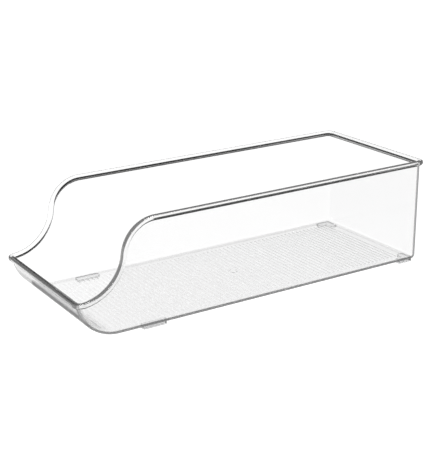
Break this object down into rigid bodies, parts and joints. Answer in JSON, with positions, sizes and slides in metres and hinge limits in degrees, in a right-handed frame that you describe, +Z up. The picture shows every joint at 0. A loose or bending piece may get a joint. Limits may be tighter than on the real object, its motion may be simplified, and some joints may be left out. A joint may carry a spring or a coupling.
{
  "type": "fridge bin",
  "caption": "Clear open-top fridge bin with a scooped low front lip, rounded rim bead, ribbed floor and low feet; stands on a shelf and slides out by hand.",
  "frame": {"origin": "middle of the bin in plan, on the shelf plane that the feet stand on", "axes": "+Z up, +Y towards the rear wall, so the low front lip is at -Y, +X towards the bin's right side"},
  "size_m": [0.143, 0.35, 0.097],
  "materials": {
    "clear_plastic": "water-clear rigid moulded plastic, polished, colourless",
    "clear_foot": "water-clear rigid moulded plastic, polished, colourless"
  },
  "bodies": {
    "root": {"bin_shell": "clear_plastic", "front_left_foot": "clear_foot", "front_right_foot": "clear_foot", "rear_left_foot": "clear_foot", "rear_right_foot": "clear_foot"}
  },
  "joints": []
}
